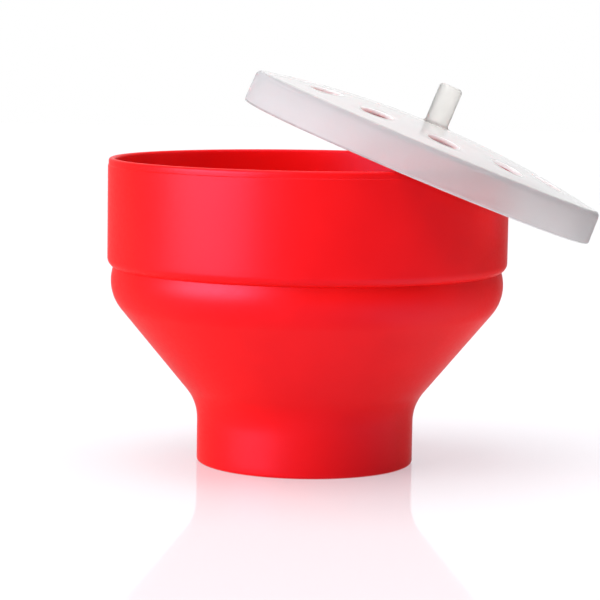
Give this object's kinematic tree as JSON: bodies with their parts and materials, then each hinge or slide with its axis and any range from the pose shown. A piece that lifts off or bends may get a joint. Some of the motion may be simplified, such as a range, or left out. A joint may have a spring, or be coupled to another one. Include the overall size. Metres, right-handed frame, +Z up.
{
  "type": "collapsible popcorn maker",
  "caption": "Round collapsible silicone popcorn bowl with a tall band, folding slanted wall and straight foot, and a loose domed lid with a peg grip.",
  "frame": {"origin": "centre of the bowl's flat underside, on the surface it stands on", "axes": "+Z up along the bowl's axis; +X towards the side where the lid leans down; -Y towards the viewer"},
  "size_m": [0.2449, 0.2, 0.1961],
  "materials": {
    "bowl_silicone": "satin",
    "lid_silicone": "satin",
    "knob_silicone": "satin"
  },
  "bodies": {
    "base": {"base_cup": "bowl_silicone", "fold_wall": "bowl_silicone"},
    "band": {"rim_band": "bowl_silicone"},
    "lid": {"lid": "lid_silicone", "lid_knob": "knob_silicone"}
  },
  "joints": [
    {"name": "bowl_collapse", "type": "slide", "parent": "base", "child": "band", "axis": [0, 0, -1], "range_m": [0, 0.09], "deforming": ["fold_wall"]},
    {"name": "lid_lift", "type": "slide", "parent": "band", "child": "lid", "axis": [0, 0, 1], "range_m": [0, 0.1]}
  ]
}
